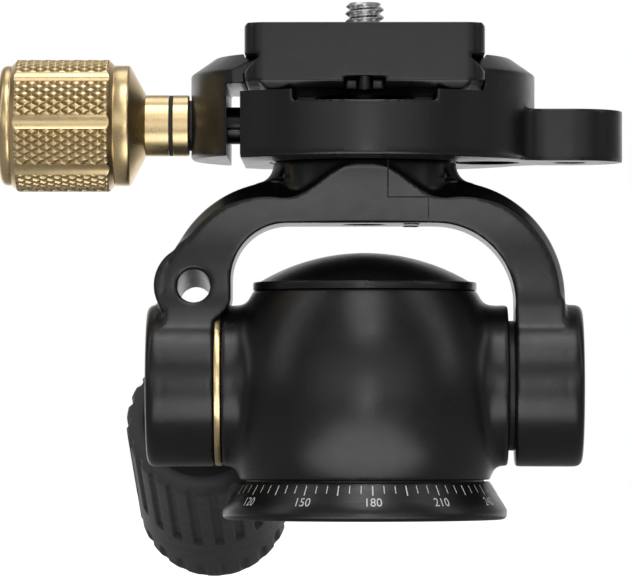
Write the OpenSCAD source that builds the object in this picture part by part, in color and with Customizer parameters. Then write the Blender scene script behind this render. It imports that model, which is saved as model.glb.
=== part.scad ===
// Two-way pan head: a panning body on a dial base, a tilting yoke, and a screw clamp for a dovetail plate.
// Millimetres. Origin at the mouth of the tripod socket, +Z up, the dial's zero side at the back (+Y).

/* [Dial base] */
// Radius of the base at its foot
base_r = 23; // [21.5:0.5:28]
// Radius of the base where the dial cone ends
base_top_r = 20.2; // [17:0.1:21]
// Height of the base
base_h = 6.1; // [5:0.1:9]
// Height of the upright rim below the dial cone
rim_h = 1.6; // [1:0.1:2.5]
// Rounding of the foot edge
rim_round = 0.8; // [0.2:0.1:0.9]
// Minor radius of the 3/8 inch tripod thread
socket_r = 3.97; // [3.5:0.01:4.5]
// Length of the tripod thread
socket_len = 10; // [8:0.5:11]
// Wall of the threaded bush
bush_wall = 1.9; // [1.2:0.1:2.5]
// How far the bush flange stands out from its barrel
bush_lip = 1.1; // [0.8:0.1:1.4]
// Thickness of the bush flange
bush_lip_h = 1.2; // [0.8:0.1:1.8]

/* [Pan bearing] */
// Radius of the pan spindle
spindle_r = 8; // [7.8:0.1:8.8]
// Radius of the spindle foot
spindle_foot_r = 13; // [12.4:0.1:15]
// Thickness of the spindle foot
spindle_foot_h = 2.8; // [2:0.1:3.2]
// Number of screws through the spindle foot
spindle_screw_count = 3; // [3:1:6]
// Radius of the spindle screws
spindle_screw_r = 1.5; // [1:0.1:1.5]
// Wall of the pan bush
pan_bush_wall = 1.5; // [1:0.1:2]
// Thickness of the body floor that the pan bush sits in
floor_t = 5.1; // [4:0.1:5.4]
// Thickness of the disc spring
disc_spring_t = 0.35; // [0.25:0.05:0.5]
// Free height of the disc spring
disc_spring_h = 0.75; // [0.6:0.05:0.9]
// Height of the pan nut
pan_nut_h = 2.6; // [2:0.1:3]
// Radius of the pan nut
pan_nut_r = 10.6; // [10:0.1:11]
// Gap under the body that the thrust washer fills
pan_gap = 0.32; // [0.2:0.02:0.6]

/* [Body] */
// Largest radius of the barrel
barrel_r = 23; // [21:0.1:23]
// Radius of the barrel's upright curve
barrel_arc_r = 32.5; // [32:0.5:60]
// Height of the barrel's fullest point below the tilt axis
barrel_drop = 2; // [0:0.1:4]
// Height of the body
body_h = 30.6; // [29:0.1:33]
// Height of the tilt axis
tilt_z = 21.6; // [21:0.1:24]
// Radius of the side trunnions
trunnion_r = 13; // [11:0.1:13.6]
// Distance from the middle to each trunnion face
trunnion_x = 23.1; // [22.8:0.1:26]
// Fillet where a trunnion meets the barrel
trunnion_fillet = 2.8; // [1:0.1:3.5]
// Radius of the well inside the body
well_r = 11.8; // [11.6:0.1:12.4]

/* [Dome cap] */
// How far the cap lip stands out from the body
lip_out = 0.15; // [0:0.05:0.5]
// Thickness of the cap lip
lip_h = 1.3; // [0.8:0.1:2]
// Step from the lip in to the dome
dome_step = 1; // [0.4:0.1:2]
// Radius of the dome's sphere
dome_r = 33; // [30:0.5:60]
// Depth of the cap spigot in the well
spigot_h = 4.5; // [2:0.1:6]
// Wall of the cap spigot
spigot_wall = 2; // [1:0.1:3]

/* [Tilt axle] */
// Radius of the axle
axle_r = 5; // [4.5:0.1:5.2]
// Wall of the axle bushes
axle_bush_wall = 2.6; // [1.5:0.1:3]
// Length of the axle bushes
axle_bush_len = 5.6; // [5.4:0.1:6]
// Width across the flats of the axle nuts
axle_nut_w = 15; // [13:0.5:16]
// Thickness of the axle nuts
axle_nut_h = 2.6; // [2:0.1:2.8]
// Thickness of the gold drag ring
drag_ring_t = 1; // [0.6:0.1:1.6]
// Radius of the gold drag ring
drag_ring_r = 13; // [11:0.1:13]
// Radius of the right friction washer
friction_washer_r = 10.5; // [8:0.1:13]
// Radius of the cross pin that locks the axle
axle_pin_r = 1.5; // [1:0.1:2]
// Distance of the cross pin from the middle
axle_pin_x = 15; // [14:0.1:15.4]

/* [Yoke] */
// Radius of the yoke bosses
boss_r = 13.1; // [12:0.1:13.6]
// Width of each boss
boss_w = 11; // [10.6:0.1:13]
// Rounding of the outer boss edges
boss_round = 1.3; // [0.4:0.1:2]
// Gap between the dome lip's swing and the underside of the bridge
bridge_gap = 1.4; // [0.5:0.1:3]
// Thickness of the bridge
bridge_t = 6.9; // [6.4:0.1:8]
// Outer radius of the arms
arm_r = 19; // [17:0.5:20]
// Half the width over the arms
arm_x = 32.3; // [31:0.1:33]
// Inner radius of the right arm
arch_r = 12.8; // [8:0.1:14]
// Inner radius of the left arm
arch_left_r = 9; // [6:0.1:12]
// Inner edge of the left arm, from the middle
left_arm_x = 21.5; // [20.4:0.1:22]
// Radius of the eye at the foot of the left arm
eye_r = 6.5; // [5:0.1:7]
// Distance of the eye from the middle
eye_x = 27.5; // [26.5:0.1:28]
// Radius of the hole in the eye
eye_hole_r = 2.65; // [2:0.05:3.2]
// Height of the eye above the tilt axis
eye_rise = 16.1; // [15.6:0.1:17.5]
// Slant of the eye's hole, down to the back
eye_slant = 11; // [0:0.5:14]
// How far the hole's middle lies below the eye's middle
eye_drop = 1.4; // [0:0.1:1.8]
// Half the depth of the arms at their waist
arm_depth = 7.3; // [6.5:0.1:9]
// Height of the arms' waist above the tilt axis
waist_rise = 15.9; // [15:0.1:17]
// Half the depth of the yoke at its top
collar_depth = 14.55; // [13:0.05:14.6]
// Radius of the round collar under the clamp
collar_r = 14.8; // [14.6:0.1:17]
// Height of the collar above the bridge
collar_h = 3.3; // [2.5:0.1:5]
// Fillet at the foot of the collar
collar_fillet = 3; // [1:0.1:3.2]
// Upper step of the lap joint, from the middle
lap_upper_x = 3.7; // [3.5:0.1:5]
// Lower step of the lap joint, from the middle
lap_lower_x = 10.2; // [10:0.1:11]
// Thickness of the lower tongue of the lap joint
lap_t = 4.1; // [3:0.1:4.6]
// Width of the seam between the two halves
seam = 0.12; // [0.05:0.01:0.3]
// Radius of the lap screws
lap_screw_r = 0.9; // [0.7:0.1:1.2]
// Distance of the lap screws from the middle
lap_screw_x = 7.5; // [6.4:0.1:8]
// Distance of the lap screws from the centre line
lap_screw_y = 5.5; // [4.5:0.1:7]
// Radius of the boss covers
cover_r = 10; // [9.6:0.1:10.8]
// Thickness of the boss covers
cover_t = 1.8; // [1:0.1:1.9]

/* [Clamp] */
// Radius of the clamp disc
clamp_r = 27.5; // [27:0.1:32]
// Height of the round rest under the clamp disc
rest_h = 0.2; // [0.1:0.05:1]
// Height of the plate seat above the clamp's underside
seat_h = 11.4; // [11:0.1:14]
// Height of the jaws above the seat
jaw_h = 5; // [4.7:0.1:6]
// Width of the bevel on the clamp's upper edge
jaw_bevel_w = 4; // [2:0.1:5]
// Height of the bevel on the clamp's upper edge
jaw_bevel_h = 2.8; // [1.5:0.1:4]
// Distance from the middle to the flat side that faces the jaw
clamp_flat_x = 19.8; // [19.4:0.1:20.4]
// Gap between the clamp and its jaw with the plate held
jaw_gap = 2.2; // [1.6:0.1:3]
// How far the jaw's curve lies outside the disc's
jaw_out = 0.6; // [0:0.1:1]
// Half the width of the relief at each end of the seat
relief_w = 11.35; // [8:0.1:13]
// Depth of the relief below the seat
relief_h = 3; // [2:0.1:4]
// Distance from the middle to the back relief's inner wall
relief_y = 14.5; // [12:0.5:15]
// Distance from the middle to the front relief's inner wall
relief_in_y = 2.5; // [2:0.5:6]
// Radius of the round pocket at the front relief's end
pocket_r = 8; // [7:0.1:9]
// Radius of the ear
ear_r = 8.5; // [6:0.1:10]
// Distance from the middle to the ear's centre
ear_x = 33.2; // [32:0.1:40]
// Thickness of the ear
ear_h = 8; // [5:0.1:10]
// Fillet where the ear meets the disc
ear_fillet = 4; // [1:0.1:6]
// Minor radius of the accessory thread in the ear
ear_hole_r = 2.55; // [2:0.05:3.2]
// Radius of the clamp bolt
clamp_bolt_r = 2; // [1.5:0.1:2.2]
// Metal left over the tip of the clamp bolt
bolt_wall = 1.5; // [1:0.1:2.5]
// Radius of the clamp dowels
dowel_r = 1.5; // [1:0.1:1.6]
// Distance of the clamp dowels from the middle
dowel_x = 9.5; // [8.5:0.1:11]
// Length of the clamp dowels
dowel_len = 4.4; // [3:0.1:4.6]
// Height of the jaw screw above the clamp's underside
jaw_screw_z = 5.7; // [5:0.1:6.4]
// Radius of the jaw screw
jaw_screw_r = 3; // [2:0.1:3.2]
// Radius of the guide pins
guide_r = 1.4; // [1:0.1:2]
// Distance of the guide pins from the centre line
guide_y = 12; // [9:0.5:13]
// Length of the guide pins
guide_len = 12.1; // [10:0.1:13]
// Distance of the guide pins' outer ends from the jaw's face
guide_in = 3.4; // [3.2:0.1:4]

/* [Clamp knob] */
// Radius over the knurled grip
knob_r = 10.7; // [9:0.1:13]
// Length of the knurled grip
knob_grip_len = 16.6; // [12:0.1:20]
// Bevel at both ends of the knurled grip
knob_bevel = 0.95; // [0.4:0.05:1.4]
// Number of flutes around the knob
flute_count = 8; // [4:1:12]
// Depth of the flutes
flute_depth = 0.4; // [0.3:0.05:0.9]
// Radius of the flute cutter
flute_cutter_r = 2.2; // [2:0.1:5]
// Turn of the first flute from straight out to the side
flute_turn = 0.4; // [0:0.1:22]
// Thickness of the end ring
knob_end_t = 1.9; // [1:0.1:3]
// Thickness of the smooth ring behind the grip
knob_ring_t = 2.4; // [1.5:0.1:4]
// Length of the cone down to the neck
knob_cone_len = 2.6; // [2:0.1:5]
// Radius of the neck
neck_r = 4.95; // [4.2:0.05:6]
// Length of the neck
neck_len = 7.1; // [5:0.1:10]
// Width of the dark band in the neck
band_w = 0.65; // [0.4:0.05:1.5]
// Distance from the end of the neck to the dark band
band_start = 2.6; // [1.5:0.1:4]
// Depth of the dark band in the neck
band_depth = 0.5; // [0.3:0.05:0.8]
// Thickness of the knob washer
knob_washer_t = 0.6; // [0.6:0.1:1.5]
// Radius of the knob washer
knob_washer_r = 4.1; // [3.8:0.1:4.8]

/* [Dovetail plate] */
// Width of the plate
plate_w = 38; // [37:0.1:38.2]
// Length of the plate
plate_len = 50; // [46:0.5:70]
// Height of the plate
plate_h = 9.2; // [8.6:0.1:12]
// Corner radius of the plate, seen from above
plate_corner = 3; // [1:0.1:6]
// Height of the upright foot below the dovetail
foot_h = 1.5; // [1:0.1:1.8]
// Depth of the dovetail groove on each side
dovetail = 2.7; // [2:0.1:3]
// Bevel of the plate's upper edge
plate_bevel = 0.5; // [0.2:0.1:1]
// Half the width of the notch over each stop screw
notch_w = 3.3; // [2:0.1:5]
// Height of the notch over each stop screw
notch_h = 0.7; // [0.4:0.1:1.2]
// Radius of the stop screws
stop_r = 1.35; // [1:0.05:2]
// Distance of the stop screws from the middle
stop_y = 22; // [20.5:0.1:22.5]
// Length of the stop screws below the notch
stop_drop = 2; // [1.4:0.1:2.6]
// Width of the rubber strips
pad_w = 6; // [4:0.1:7]
// Length of the rubber strips
pad_len = 42; // [30:1:43]
// Distance of the rubber strips from the middle
pad_x = 14.5; // [12:0.1:14.8]
// Thickness of the rubber strips
pad_t = 1.2; // [0.8:0.1:2]
// How far the rubber strips stand proud of the plate
pad_proud = 0.2; // [0.1:0.05:0.5]

/* [Camera screw] */
// Major radius of the 1/4 inch camera thread
camera_r = 3.175; // [2.5:0.005:4]
// Free length of the camera thread above the plate
camera_len = 4.9; // [4:0.1:7]
// Radius of the screw head
camera_head_r = 7; // [5.5:0.1:8]
// Thickness of the screw head
camera_head_h = 2.3; // [1.5:0.1:3]
// Depth of the head's seat above the plate's underside
camera_seat = 4; // [3.5:0.1:4.5]

/* [Handle] */
// Distance of the handle's axis from the middle
handle_x = 27.1; // [27:0.1:29]
// Turn of the handle's axis toward the middle
handle_yaw = 0.7; // [0:0.1:1]
// Slope of the handle, down to the back
handle_slope = 16.2; // [10:0.2:17]
// Distance from the tilt axis to the grip's near end
grip_start = 19.6; // [19.4:0.1:24]
// Length of the grip's straight part
grip_len = 51.2; // [46:0.1:70]
// Radius of the grip at its near end
grip_near_r = 12.7; // [11:0.1:12.8]
// Radius of the grip at its far end
grip_far_r = 13.1; // [12:0.1:13.2]
// Rounding of the grip's near end
grip_round = 2.5; // [1:0.1:4]
// Number of slots around the grip
slot_count = 22; // [12:1:26]
// Width of the slots
slot_w = 1.5; // [0.8:0.1:2]
// Depth of the slots
slot_depth = 0.7; // [0.5:0.1:1.6]
// Radius of the recess in the grip's near face
cup_r = 9.7; // [8:0.1:9.8]
// Depth of the recess in the grip's near face
cup_h = 1; // [0.5:0.1:2]
// Length of the near slots
near_slot_len = 32; // [20:0.5:36]
// Distance of the near slots from the grip's near end
near_slot_start = 0.8; // [0.6:0.1:4]
// Length of the far slots
far_slot_len = 12; // [8:0.5:13]
// Distance from the near slots to the far slots
slot_band = 13.6; // [10:0.1:18]
// Radius of the handle core
core_r = 7; // [6:0.1:8]
// Radius of the collar between the boss and the grip
stem_collar_r = 4.6; // [4.2:0.1:5.8]
// Radius of the stem's threaded tip
tip_r = 2.4; // [2:0.1:2.5]
// Length of the brake plunger
plunger_len = 3.4; // [2.6:0.1:4]

/* [Hidden] */
$fn = 64;

fit = 0.02;        // between pieces that are pressed together
run = 0.05;        // between pieces that turn or slide in each other
face_gap = 0.1;    // between flat faces that slide past each other
clear = 0.4;       // between pieces that must never touch
through = 1;       // how far a cutter runs past the face it opens
satin_black = [0.11, 0.11, 0.12];
gold = [0.86, 0.71, 0.47];
steel = [0.75, 0.76, 0.78];
bronze = [0.62, 0.45, 0.25];
rubber_black = [0.15, 0.15, 0.16];

// heights of the base, the body and the cap
body_z = base_h + pan_gap;
body_top = body_z + body_h;
floor_z = body_z + floor_t;
barrel_z = tilt_z - barrel_drop;
function barrel_at(z) = barrel_r - barrel_arc_r + sqrt(pow(barrel_arc_r, 2) - pow(z - barrel_z, 2));
barrel_mid_r = barrel_at(tilt_z);
body_top_r = barrel_at(body_top);
lip_r = body_top_r + lip_out;
lip_top = body_top + lip_h;
dome_base_r = lip_r - dome_step;
dome_centre = lip_top - sqrt(dome_r * dome_r - dome_base_r * dome_base_r);
bush_r = socket_r + bush_wall;
bush_lip_r = bush_r + bush_lip;
foot_z = base_h - spindle_foot_h;
spindle_screw_ring = (spindle_r + spindle_foot_r) / 2;
pan_bush_r = spindle_r + run + pan_bush_wall;
spring_top = floor_z + fit + disc_spring_h;
nut_z = spring_top + face_gap / 2;
spindle_top = nut_z + pan_nut_h + clear;

// places along the tilt axle
ring_gap = drag_ring_t + 2 * face_gap / 2;
boss_x = trunnion_x + ring_gap;
boss_end = boss_x + boss_w;
axle_bush_r = axle_r + run + axle_bush_wall;
axle_bush_end = boss_x + face_gap + axle_bush_len;
axle_nut_x = axle_bush_end + face_gap;
axle_end = axle_nut_x + axle_nut_h;
cover_x = boss_end - cover_t - face_gap;
nut_well_r = axle_nut_w / sqrt(3) + clear;

// the yoke's outlines
bridge_z = tilt_z + sqrt(lip_r * lip_r + (lip_top - tilt_z) * (lip_top - tilt_z)) + bridge_gap;
bridge_top = bridge_z + bridge_t;
collar_top = bridge_top + collar_h;
clamp_z = collar_top + rest_h;
lap_z = bridge_z + lap_t;
arm_corner_x = arm_x - arm_r;
arm_corner_z = bridge_top - arm_r;
eye_z = tilt_z + eye_rise;
waist_z = tilt_z + waist_rise;
blend_in = boss_r - 0.15;
boss_blend = (pow(arm_depth, 2) + pow(waist_rise, 2) - pow(blend_in, 2)) / (2 * (blend_in - arm_depth));
flare = collar_depth - arm_depth;
flare_h = collar_top - waist_z;
flare_r = (flare * flare + flare_h * flare_h) / (2 * flare);
swing_r = max(trunnion_r, drag_ring_r) + clear;
clamp_head_r = clamp_bolt_r + 1.3;
clamp_head_h = 2.5;
clamp_head_z = bridge_z + clamp_head_h + 0.3;
lap_head_r = lap_screw_r + 0.35;
lap_head_h = 1.4;

// the clamp, its jaw and the dovetail plate
seat_z = clamp_z + seat_h;
jaw_top = seat_z + jaw_h;
screw_z = clamp_z + jaw_screw_z;
jaw_in_x = clamp_flat_x + jaw_gap;
foot_bevel = 0.4;
jaw_face_x = clamp_r + jaw_out - foot_bevel;
guide_end = guide_in - jaw_face_x + guide_len;
plate_z = seat_z + face_gap;
plate_top = plate_z + plate_h;
plate_x = plate_w / 2;
waist_x = plate_x - dovetail;
flange_z = plate_z + foot_h + dovetail + 0.1;
hook_z = flange_z - face_gap;
relief_z = seat_z - relief_h;
neck_x = jaw_face_x + face_gap + knob_washer_t;
cone_x = neck_x + neck_len;
ring_x = cone_x + knob_cone_len;
grip_x = ring_x + knob_ring_t;
end_x = grip_x + knob_grip_len;
ring_r = knob_r - knob_bevel;
flute_ring = knob_r + flute_cutter_r - flute_depth;
pad_z = plate_top + pad_proud - pad_t;
camera_head_z = plate_z + camera_seat - camera_head_h - face_gap;
camera_hole_r = camera_r + run;
camera_neck_r = camera_r - 0.5;

// the handle, measured along its own axis from the tilt axis
plunger_start = axle_r + run;
plunger_end = plunger_start + plunger_len;
plunger_r = tip_r - 0.2;
collar_start = boss_r + 1.5;
stem_end = grip_start + 0.8 * grip_len;
grip_end = grip_start + grip_len;
near_slot = grip_start + near_slot_start;
far_slot = near_slot + near_slot_len + slot_band;
core_end = grip_end + 1;

// A disc profile with rounded edges: radius, thickness, rounding at the bottom and at the top
module disc_outline(r, h, low, high) {
    translate([0, low]) square([r, h - low - high]);
    if (low > 0) {
        square([r - low, h / 2]);
        translate([r - low, low]) intersection() {
            circle(low);
            translate([0, -low]) square([low, low]);
        }
    }
    if (high > 0) {
        translate([0, h / 2]) square([r - high, h / 2]);
        translate([r - high, h - high]) intersection() {
            circle(high);
            square([high, high]);
        }
    }
}

// Turns a solid's own Z axis to +X
module along_x() {
    rotate([0, 90, 0]) children();
}

// Puts a solid's own Z axis on the handle's axis, measured from the tilt axis
module along_handle() {
    translate([-handle_x, 0, tilt_z]) rotate([-90 - handle_slope, 0, -handle_yaw]) children();
}

// Raises an outline drawn in X and Z to a solid along Y
module front_extrude(depth) {
    rotate([90, 0, 0]) linear_extrude(depth, center = true) children();
}

// Raises an outline drawn in Y and Z to a solid along X
module side_extrude(width) {
    rotate([90, 0, 90]) linear_extrude(width, center = true) children();
}

module ring_of(count, first = 0) {
    for (i = [0 : count - 1]) rotate([0, 0, first + i * 360 / count]) children();
}

// Dial base

module base_plate() {
    cone_r = base_top_r;
    color(satin_black) difference() {
        rotate_extrude() {
            disc_outline(base_r, rim_h, rim_round, 0);
            polygon([[0, rim_h], [base_r, rim_h], [cone_r, base_h], [0, base_h]]);
        }
        translate([0, 0, -through]) cylinder(h = base_h, r = bush_r + fit);
        translate([0, 0, -through]) cylinder(h = bush_lip_h + fit + through, r = bush_lip_r + fit);
        translate([0, 0, foot_z]) cylinder(h = base_h, r = spindle_foot_r + fit);
        spindle_screw_set(fit);
    }
}

module tripod_bush() {
    color(steel) difference() {
        union() {
            cylinder(h = socket_len, r = bush_r);
            cylinder(h = bush_lip_h, r = bush_lip_r);
        }
        translate([0, 0, -through]) cylinder(h = socket_len + 2 * through, r = socket_r);
    }
}

module pan_spindle() {
    color(steel) difference() {
        union() {
            translate([0, 0, foot_z + fit]) cylinder(h = spindle_foot_h - fit, r = spindle_foot_r);
            translate([0, 0, foot_z + fit]) cylinder(h = spindle_top - foot_z - fit, r = spindle_r);
        }
        cylinder(h = socket_len + fit, r = bush_r + fit);
        spindle_screw_set(fit);
    }
}

// Countersunk screws from below, grown by a gap to make their holes
module spindle_screw_set(gap) {
    head_r = 1.75 * spindle_screw_r;
    tip = base_h - 0.3;
    ring_of(spindle_screw_count, 90) translate([spindle_screw_ring, 0, 0.2 - gap]) {
        cylinder(h = tip + gap, r = spindle_screw_r + gap);
        cylinder(h = head_r - spindle_screw_r, r1 = head_r + gap, r2 = spindle_screw_r + gap);
        if (gap > 0) translate([0, 0, -through]) cylinder(h = through, r = head_r + gap);
    }
}

module spindle_screws() {
    color(steel) spindle_screw_set(0);
}

module pan_nut() {
    notch = 2.4;
    color(steel) difference() {
        translate([0, 0, nut_z]) cylinder(h = pan_nut_h, r = pan_nut_r);
        cylinder(h = spindle_top + through, r = spindle_r + fit);
        ring_of(4) translate([pan_nut_r - 1.2, -notch / 2, nut_z + 1]) cube([notch, notch, pan_nut_h]);
    }
}

// Panning body

module body_housing() {
    blend_x = sqrt(pow(barrel_mid_r + trunnion_fillet, 2) - pow(trunnion_r + trunnion_fillet, 2));
    blend_r = (trunnion_r + trunnion_fillet) * barrel_mid_r / (barrel_mid_r + trunnion_fillet);
    color(satin_black) difference() {
        union() {
            rotate_extrude() intersection() {
                translate([barrel_r - barrel_arc_r, barrel_z]) circle(barrel_arc_r, $fn = 128);
                translate([0, body_z]) square([barrel_r + 1, body_h]);
            }
            for (side = [-1, 1]) translate([0, 0, tilt_z]) rotate([0, side * 90, 0]) rotate_extrude() {
                square([trunnion_r, trunnion_x]);
                difference() {
                    square([blend_r, blend_x]);
                    translate([trunnion_r + trunnion_fillet, blend_x]) circle(trunnion_fillet);
                }
            }
        }
        translate([0, 0, body_z - through]) cylinder(h = body_h, r = pan_bush_r + fit);
        translate([0, 0, floor_z]) cylinder(h = body_h, r = well_r);
        translate([-boss_x, 0, tilt_z]) along_x() cylinder(h = 2 * boss_x, r = axle_r + fit);
        axle_pin_set(fit);
    }
}

module pan_bush() {
    color(bronze) translate([0, 0, body_z]) difference() {
        cylinder(h = floor_t, r = pan_bush_r);
        translate([0, 0, -through]) cylinder(h = floor_t + 2 * through, r = spindle_r + run);
    }
}

module thrust_washer() {
    washer_t = pan_gap - 2 * fit;
    color(rubber_black) translate([0, 0, base_h + fit]) difference() {
        cylinder(h = washer_t, r = base_top_r - 0.9);
        translate([0, 0, -through]) cylinder(h = washer_t + 2 * through, r = spindle_foot_r + clear);
    }
}

module disc_spring() {
    inner = spindle_r + clear;
    outer = well_r - clear;
    color(steel) translate([0, 0, floor_z + fit]) rotate_extrude() polygon([
        [outer, 0], [outer, disc_spring_t], [inner, disc_spring_h], [inner, disc_spring_h - disc_spring_t]
    ]);
}

module dome_cap() {
    spigot_r = well_r - fit;
    color(satin_black) difference() {
        rotate_extrude() {
            translate([0, body_top]) disc_outline(lip_r, lip_h, 0, 0.3);
            translate([0, body_top - spigot_h]) square([spigot_r, spigot_h + lip_h]);
            intersection() {
                translate([0, dome_centre]) circle(dome_r, $fn = 128);
                translate([0, body_top]) square([dome_base_r, dome_r]);
            }
        }
        translate([0, 0, body_top - spigot_h - through])
            cylinder(h = spigot_h + through, r = spigot_r - spigot_wall);
    }
}

module tilt_axle() {
    color(steel) difference() {
        translate([-axle_end, 0, tilt_z]) along_x() cylinder(h = 2 * axle_end, r = axle_r);
        axle_pin_set(fit);
    }
}

// The upright pin that locks the axle to the body, grown by a gap to make its hole
module axle_pin_set(gap) {
    low = tilt_z - axle_r - 2;
    translate([axle_pin_x, 0, low - gap]) cylinder(h = body_top - low + gap * through, r = axle_pin_r + gap);
    if (gap > 0) translate([axle_pin_x, 0, body_top - through])
        cylinder(h = 2 * through, r = axle_pin_r + gap);
}

module axle_pin() {
    color(steel) axle_pin_set(0);
}

module axle_nuts() {
    color(steel) for (side = [-1, 1]) translate([side * axle_nut_x, 0, tilt_z]) rotate([0, side * 90, 0])
        difference() {
            cylinder(h = axle_nut_h, r = axle_nut_w / sqrt(3), $fn = 6);
            translate([0, 0, -through]) cylinder(h = axle_nut_h + 2 * through, r = axle_r + fit);
        }
}

// A flat ring on the axle in the gap beside a trunnion
module axle_ring(side, r) {
    translate([side * (trunnion_x + face_gap / 2), 0, tilt_z]) rotate([0, side * 90, 0]) difference() {
        cylinder(h = drag_ring_t, r = r);
        translate([0, 0, -through]) cylinder(h = drag_ring_t + 2 * through, r = axle_r + fit);
    }
}

module drag_ring() {
    color(gold) axle_ring(-1, drag_ring_r);
}

module friction_washer() {
    color(rubber_black) axle_ring(1, friction_washer_r);
}

// Yoke

// The yoke seen from the front: two arms, the bridge and the eye at the foot of the left arm
module yoke_front() {
    low = tilt_z;
    span = boss_x + left_arm_x;
    difference() {
        union() {
            for (side = [-1, 1]) translate([side * arm_corner_x, arm_corner_z]) circle(arm_r, $fn = 128);
            translate([-arm_corner_x, arm_corner_z]) square([2 * arm_corner_x, arm_r]);
            translate([-arm_x, low]) square([2 * arm_x, arm_corner_z - low]);
        }
        translate([-left_arm_x, 0]) square([span, bridge_z - arch_r]);
        translate([-left_arm_x, 0]) square([span / 2, bridge_z - arch_left_r]);
        translate([arch_left_r - left_arm_x, 0]) square([span - arch_r - arch_left_r, bridge_z]);
        translate([boss_x - arch_r, bridge_z - arch_r]) circle(arch_r);
        translate([arch_left_r - left_arm_x, bridge_z - arch_left_r]) circle(arch_left_r);
        translate([-boss_x, 0]) square([boss_x, eye_z]);
    }
    difference() {
        translate([-eye_x, eye_z]) circle(eye_r);
        translate([-left_arm_x, eye_z - eye_r]) square(2 * eye_r);
    }
}

// The yoke seen from the side: arms that sweep in from the bosses to a waist and out again to the collar
module yoke_side() {
    low_y = arm_depth + boss_blend;
    for (side = [0, 1]) mirror([side, 0]) {
        difference() {
            polygon([[-1, tilt_z], [0, tilt_z], [low_y, waist_z], [-1, waist_z]]);
            translate([low_y, waist_z]) circle(boss_blend);
        }
        difference() {
            translate([-1, waist_z]) square([collar_depth + 1, flare_h]);
            translate([arm_depth + flare_r, waist_z]) circle(flare_r, $fn = 128);
        }
    }
}

// The round collar with its hollow foot
module yoke_collar() {
    foot_r = collar_r + collar_fillet;
    foot_top = bridge_top + collar_fillet - 0.2;
    rotate_extrude() {
        translate([0, bridge_z + 1]) square([collar_r, collar_top - bridge_z - 1]);
        difference() {
            translate([0, bridge_z + 1]) square([foot_r, foot_top - bridge_z - 1]);
            translate([foot_r, foot_top]) circle(collar_fillet);
        }
    }
}

module yoke_boss(side) {
    translate([side * boss_x, 0, tilt_z]) rotate([0, side * 90, 0])
        rotate_extrude() disc_outline(boss_r, boss_w, 0, boss_round);
}

// Everything on the right of the stepped lap joint, moved by half the seam
module lap_side(shift) {
    reach = 2 * boss_end;
    front_extrude(4 * boss_r) polygon([
        [lap_upper_x + shift, clamp_z + through], [lap_upper_x + shift, lap_z + shift],
        [lap_lower_x + shift, lap_z + shift], [lap_lower_x + shift, -reach],
        [reach, -reach], [reach, clamp_z + through]
    ]);
}

module yoke_solid() {
    difference() {
        union() {
            intersection() {
                union() {
                    front_extrude(4 * collar_r) yoke_front();
                    yoke_collar();
                }
                side_extrude(4 * boss_end) yoke_side();
            }
            yoke_boss(-1);
            yoke_boss(1);
        }
        translate([-boss_x, 0, tilt_z]) along_x() cylinder(h = 2 * boss_x, r = swing_r);
        translate([-2 * boss_end, 0, tilt_z]) along_x() cylinder(h = 4 * boss_end, r = axle_bush_r + fit);
        for (side = [-1, 1]) translate([0, 0, tilt_z]) rotate([0, side * 90, 0]) {
            translate([0, 0, axle_bush_end]) cylinder(h = boss_w, r = nut_well_r);
            translate([0, 0, cover_x]) cylinder(h = boss_w, r = cover_r + fit);
        }
        lap_screw_set(fit);
        clamp_dowel_set(fit);
    }
}

module yoke_main() {
    eye_len = 2 * collar_r;
    color(satin_black) difference() {
        yoke_solid();
        lap_side(-seam / 2);
        translate([-eye_x, 0, eye_z - eye_drop]) rotate([90 - eye_slant, 0, 0])
            cylinder(h = 2 * eye_len, r = eye_hole_r, center = true);
        clamp_bolt_set(fit);
        along_handle() cylinder(h = 2 * boss_r, r = tip_r + run);
    }
}

module yoke_right_arm() {
    color(satin_black) intersection() {
        yoke_solid();
        lap_side(seam / 2);
    }
}

// Screws from below that hold the two halves together, grown by a gap to make their holes
module lap_screw_set(gap) {
    tip = collar_top - 1;
    for (side = [-1, 1]) translate([lap_screw_x, side * lap_screw_y, bridge_z]) {
        cylinder(h = tip - bridge_z + gap, r = lap_screw_r + gap);
        translate([0, 0, -through * gap - 0.15])
            cylinder(h = lap_head_h + gap + through * gap, r = lap_head_r + gap);
    }
}

module lap_screws() {
    color(steel) lap_screw_set(0);
}

// An axle bush in a boss, with the handle's hole through the left one
module axle_bush(side) {
    translate([side * (boss_x + face_gap), 0, tilt_z]) rotate([0, side * 90, 0]) difference() {
        cylinder(h = axle_bush_len, r = axle_bush_r);
        translate([0, 0, -through]) cylinder(h = axle_bush_len + 2 * through, r = axle_r + run);
    }
}

module left_bush() {
    color(bronze) difference() {
        axle_bush(-1);
        along_handle() cylinder(h = 2 * boss_r, r = tip_r + run);
    }
}

module right_bush() {
    color(bronze) axle_bush(1);
}

module boss_cover(side) {
    rim = 0.4;
    dish_r = cover_r - 2.5;
    translate([side * (cover_x + fit), 0, tilt_z]) rotate([0, side * 90, 0]) rotate_extrude() difference() {
        disc_outline(cover_r, cover_t, 0, rim);
        translate([0, cover_t - rim]) square([dish_r, rim]);
    }
}

module left_cover() {
    color(satin_black) boss_cover(-1);
}

module right_cover() {
    color(satin_black) boss_cover(1);
}

// Clamp

// The clamp's disc with its bevelled upper edge
module clamp_disc() {
    h = jaw_top - clamp_z;
    translate([0, 0, clamp_z]) rotate_extrude() polygon([
        [0, 0], [clamp_r - foot_bevel, 0], [clamp_r, foot_bevel],
        [clamp_r, h - jaw_bevel_h], [clamp_r - jaw_bevel_w, h], [0, h]
    ]);
}

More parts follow.
